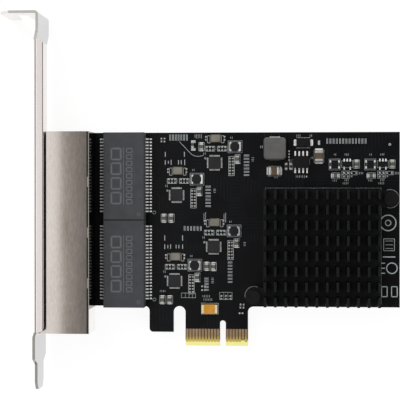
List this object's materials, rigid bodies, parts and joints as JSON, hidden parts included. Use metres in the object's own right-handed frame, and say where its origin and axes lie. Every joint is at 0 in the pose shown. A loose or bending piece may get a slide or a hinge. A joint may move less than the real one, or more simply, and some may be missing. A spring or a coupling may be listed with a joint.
{
  "type": "network interface card",
  "caption": "Network interface card with four shielded modular jacks, a full-height slot bracket, line transformers, a pin-fin heat sink and a x1 edge connector.",
  "frame": {"origin": "centre line of the key notch, at the bottom edge of the edge connector, on the component face of the circuit board", "axes": "+X from the slot bracket to the free end of the board, +Y up to the bracket's screw tab, +Z out of the component face"},
  "size_m": [0.1275, 0.1208, 0.0216],
  "materials": {
    "solder_mask": "satin",
    "gold_fingers": "polished",
    "nickel_sheet": "satin",
    "zinc_screw": "satin",
    "tinned_shield": "satin",
    "jack_plastic": "matte",
    "gold_wire": "polished",
    "solder_tin": "satin",
    "green_lens": "gloss",
    "amber_lens": "gloss",
    "module_plastic": "matte",
    "black_anodised": "satin",
    "thermal_rubber": "matte",
    "chip_epoxy": "matte",
    "pin_plastic": "satin",
    "spring_steel": "satin",
    "crystal_ceramic": "matte",
    "crystal_metal": "satin",
    "ferrite": "matte",
    "power_ferrite": "satin",
    "capacitor_ceramic": "satin",
    "resistor_glaze": "satin",
    "tantalum_resin": "satin"
  },
  "bodies": {
    "root": {"activity_lights": "amber_lens", "bracket_screws": "zinc_screw", "circuit_board": "solder_mask", "core_inductor_1": "ferrite", "core_inductor_2": "ferrite", "core_inductor_3": "ferrite", "core_inductor_4": "ferrite", "core_inductor_terminals": "solder_tin", "crystal_base_1": "crystal_ceramic", "crystal_base_2": "crystal_ceramic", "crystal_base_3": "crystal_ceramic", "crystal_base_4": "crystal_ceramic", "crystal_lid_1": "crystal_metal", "crystal_lid_2": "crystal_metal", "crystal_lid_3": "crystal_metal", "crystal_lid_4": "crystal_metal", "edge_contacts": "gold_fingers", "ethernet_chip_1": "chip_epoxy", "ethernet_chip_2": "chip_epoxy", "ethernet_chip_3": "chip_epoxy", "ethernet_chip_4": "chip_epoxy", "heat_sink": "black_anodised", "jack_contacts": "gold_wire", "jack_housing": "jack_plastic", "jack_pins": "solder_tin", "jack_rear_cover": "tinned_shield", "jack_shield": "tinned_shield", "large_capacitors": "capacitor_ceramic", "link_lights": "green_lens", "power_diode": "chip_epoxy", "power_diode_terminals": "solder_tin", "power_inductor": "power_ferrite", "power_inductor_terminals": "solder_tin", "push_pin_springs": "spring_steel", "push_pins": "pin_plastic", "resistors": "resistor_glaze", "slot_bracket": "nickel_sheet", "small_capacitors": "capacitor_ceramic", "small_inductor_terminals": "solder_tin", "small_inductors": "ferrite", "small_regulator_leads": "solder_tin", "small_regulators": "chip_epoxy", "switch_chip": "chip_epoxy", "switching_regulator": "chip_epoxy", "switching_regulator_leads": "solder_tin", "tantalum_capacitor": "tantalum_resin", "tantalum_capacitor_ends": "solder_tin", "thermal_pad": "thermal_rubber", "transformer_leads_lower": "solder_tin", "transformer_leads_upper": "solder_tin", "transformer_lower": "module_plastic", "transformer_upper": "module_plastic"}
  },
  "joints": []
}
